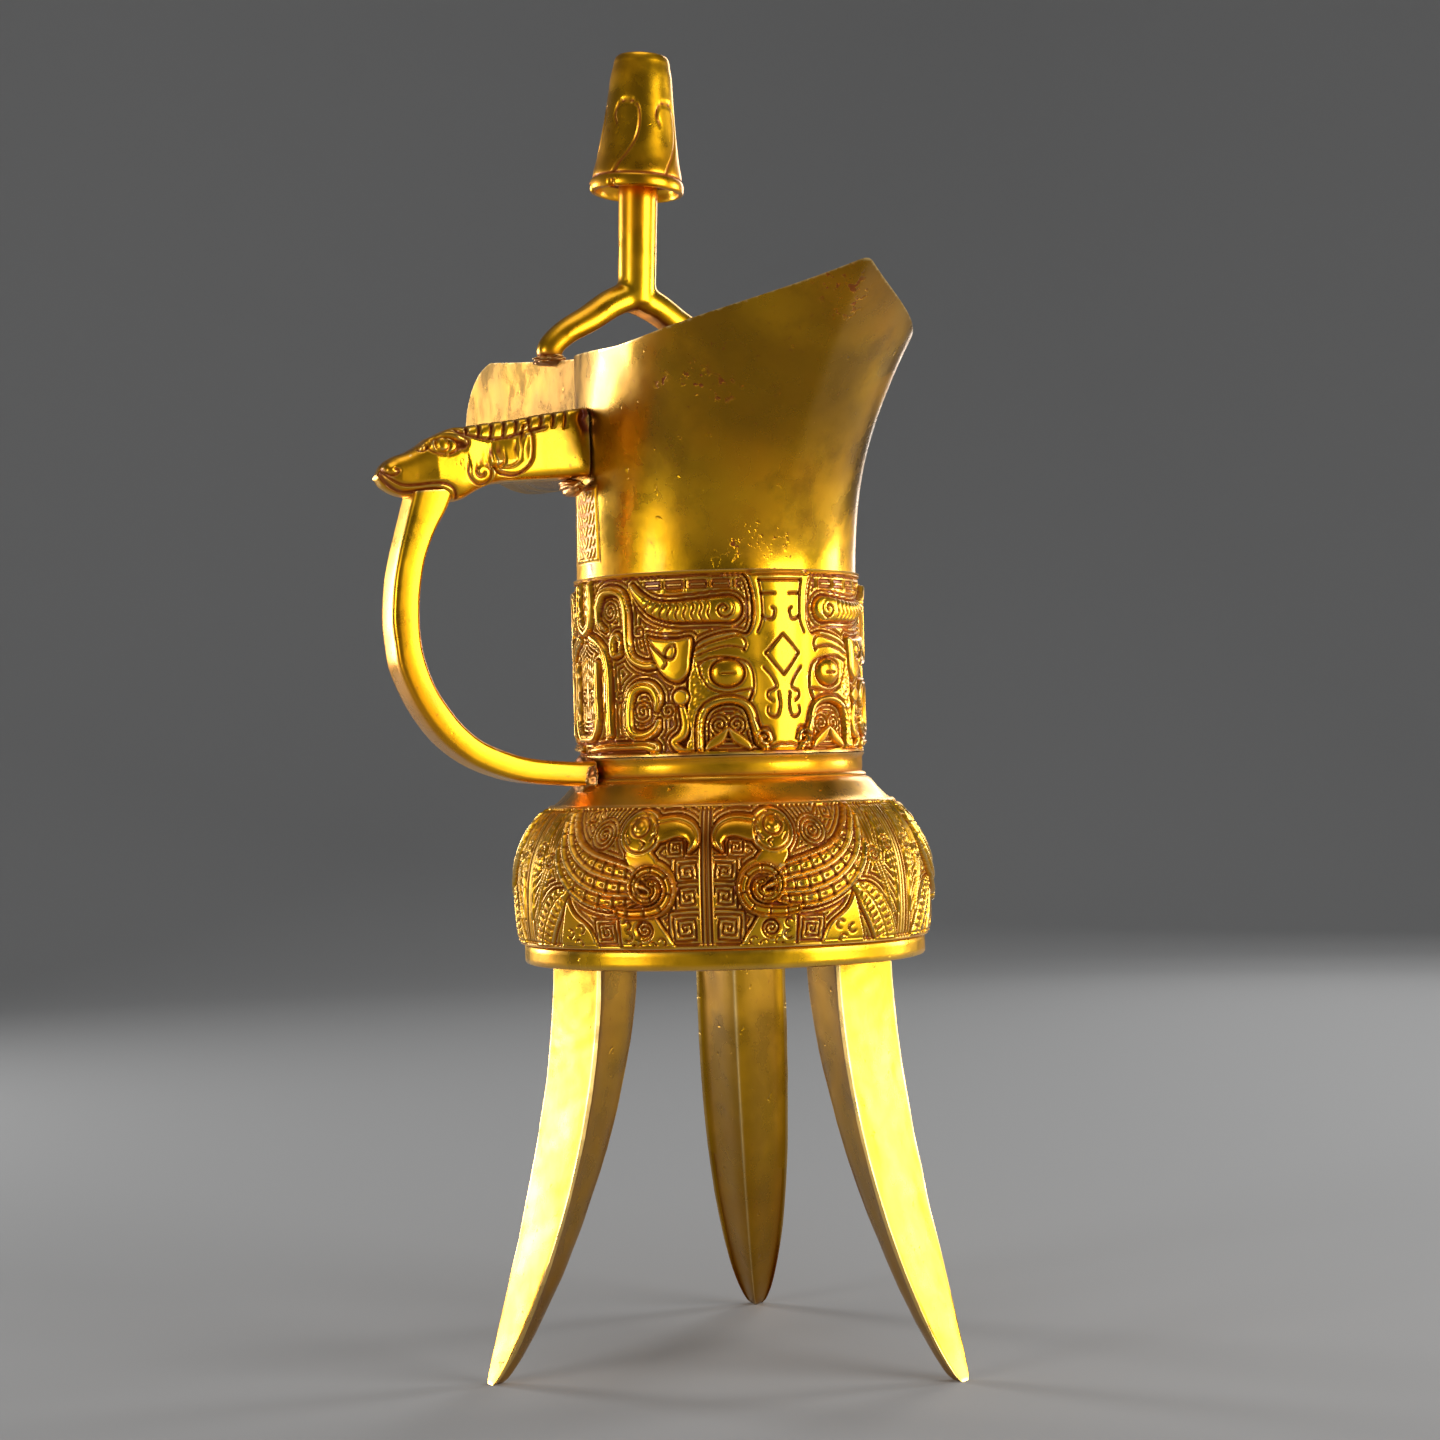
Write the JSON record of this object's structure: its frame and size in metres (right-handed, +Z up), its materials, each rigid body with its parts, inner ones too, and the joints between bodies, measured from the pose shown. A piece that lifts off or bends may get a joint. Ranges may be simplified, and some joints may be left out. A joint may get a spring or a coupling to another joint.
{
  "type": "tripod cup",
  "caption": "Gilt bronze ritual tripod cup with blade legs, carved belly and waist, pouring spout, pointed tail, animal-head handle and a forked post with a bell-shaped cap.",
  "frame": {"origin": "on the ground at the middle of the whole cup's bounding box; the body's own axis is 15.7 mm towards the tail and 14.4 mm away from the handle", "axes": "+Z up; +X towards the pointed tail and -X towards the spout; -Y towards the handle"},
  "size_m": [0.1606, 0.104, 0.2519],
  "materials": {
    "gilt_vessel": "gilt cast bronze with red-brown patina in the recesses",
    "gilt_handle": "gilt cast bronze, polished on its raised parts",
    "gilt_post": "gilt cast bronze, polished"
  },
  "bodies": {
    "root": {"vessel": "gilt_vessel", "handle": "gilt_handle", "forked_post": "gilt_post"}
  },
  "joints": []
}
